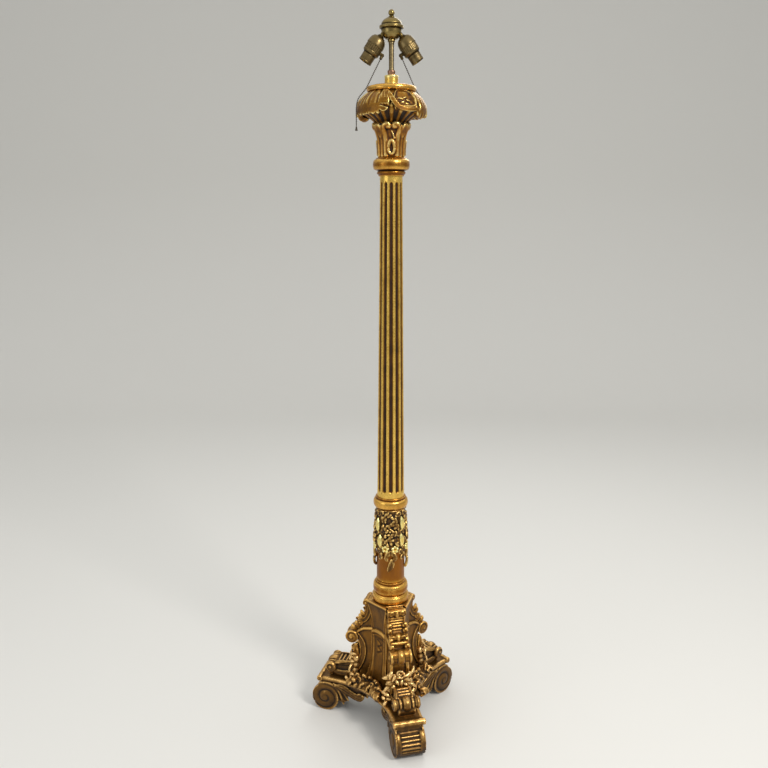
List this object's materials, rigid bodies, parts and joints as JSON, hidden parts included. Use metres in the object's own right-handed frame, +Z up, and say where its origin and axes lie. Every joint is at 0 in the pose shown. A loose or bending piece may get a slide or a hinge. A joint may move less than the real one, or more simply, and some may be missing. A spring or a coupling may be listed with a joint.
{
  "type": "candlestick floor lamp",
  "caption": "Giltwood floor lamp: carved scroll-footed tripod base, fluted column, acanthus capital and brass cluster with two pull-chain sockets.",
  "frame": {"origin": "on the lamp's centre line, on the floor between its three feet", "axes": "+Z up the column, +X to the right and -Y towards the viewer, with the front leg 14 degrees to the right of -Y"},
  "size_m": [0.3942, 0.3906, 1.7723],
  "materials": {
    "giltwood_base": "aged oil gilding over gesso on carved wood, rubbed and toned dark",
    "giltwood_pedestal": "aged gilding over gesso on carved wood",
    "giltwood_column": "aged gilding over gesso on carved and turned wood",
    "burnished_gilt": "burnished gilding over red bole on turned wood",
    "aged_brass": "unlacquered brass gone olive with age",
    "copper_brass": "copper-coloured brass, worn",
    "socket_bronze": "dark bronzed brass shell",
    "chain_bronze": "dark bead chain",
    "vulcan_fibre": "pressed fibre insulation",
    "bakelite": "moulded phenolic",
    "contact_brass": "bright drawn brass",
    "steel": "zinc-plated steel",
    "lead_cloth": "cloth-covered twin lead",
    "wire_nut": "pressed connector caps"
  },
  "bodies": {
    "root": {"leg_front": "giltwood_base", "leg_right": "giltwood_base", "leg_left": "giltwood_base", "base_plate": "giltwood_base", "knee_scroll_front": "giltwood_base", "knee_scroll_right": "giltwood_base", "knee_scroll_left": "giltwood_base", "leaf_garland": "giltwood_base", "pedestal_core": "giltwood_pedestal", "corner_scroll_front": "giltwood_pedestal", "corner_scroll_right": "giltwood_pedestal", "corner_scroll_left": "giltwood_pedestal", "face_panels": "giltwood_pedestal", "base_collar": "burnished_gilt", "vase_ring": "burnished_gilt", "vase": "giltwood_column", "festoons": "giltwood_column", "shaft_collar_lower": "burnished_gilt", "shaft": "giltwood_column", "shaft_collar_upper": "burnished_gilt", "calyx": "giltwood_column", "crown": "giltwood_column", "crown_ring": "burnished_gilt", "candle_cup": "burnished_gilt", "stem_locknut": "copper_brass", "stem": "aged_brass", "cluster_coupling": "aged_brass", "cluster_cup": "aged_brass", "cluster_cap": "aged_brass", "arm_left": "aged_brass", "arm_right": "aged_brass", "socket_cap_left": "socket_bronze", "socket_cap_right": "socket_bronze", "socket_shell_left": "socket_bronze", "socket_shell_right": "socket_bronze", "socket_liner_left": "vulcan_fibre", "socket_liner_right": "vulcan_fibre", "socket_body_left": "bakelite", "socket_body_right": "bakelite", "screw_shell_left": "contact_brass", "screw_shell_right": "contact_brass", "centre_contact_left": "contact_brass", "centre_contact_right": "contact_brass", "pull_spout_left": "socket_bronze", "pull_spout_right": "socket_bronze", "centre_rod": "steel", "bottom_nut": "steel", "bottom_washer": "steel", "leads": "lead_cloth", "wire_nuts": "wire_nut", "cord_bushing": "bakelite", "leg_screws": "steel"},
    "left_pull": {"pull_chain_left": "chain_bronze", "pull_bell_left": "chain_bronze"},
    "right_pull": {"pull_chain_right": "chain_bronze", "pull_bell_right": "chain_bronze"},
    "left_lever": {"switch_lever_left": "contact_brass"},
    "right_lever": {"switch_lever_right": "contact_brass"},
    "finial_body": {"finial": "aged_brass"}
  },
  "joints": [
    {"name": "left_pull_slide", "type": "slide", "parent": "root", "child": "left_pull", "axis": [-0.4259, -0.2469, -0.8704], "range_m": [0, 0.006], "stiffness_N_per_m": 60},
    {"name": "left_lever_turn", "type": "hinge", "parent": "root", "child": "left_lever", "pos_m": [-0.03713, 0, 1.69499], "axis": [0, -1, 0], "range_deg": [0, 28.5]},
    {"name": "right_pull_slide", "type": "slide", "parent": "root", "child": "right_pull", "axis": [0.4329, 0.2288, -0.8719], "range_m": [0, 0.006], "stiffness_N_per_m": 60},
    {"name": "right_lever_turn", "type": "hinge", "parent": "root", "child": "right_lever", "pos_m": [0.03713, 0, 1.69499], "axis": [0, 1, 0], "range_deg": [0, 28.5]},
    {"name": "finial_turn", "type": "hinge", "parent": "root", "child": "finial_body", "pos_m": [0, 0, 1.756], "axis": [0, 0, 1], "continuous": true}
  ],
  "couplings": [
    {"joint": "left_lever_turn", "follows": "left_pull_slide", "rad_per_m": 81.449},
    {"joint": "right_lever_turn", "follows": "right_pull_slide", "rad_per_m": 81.449}
  ]
}
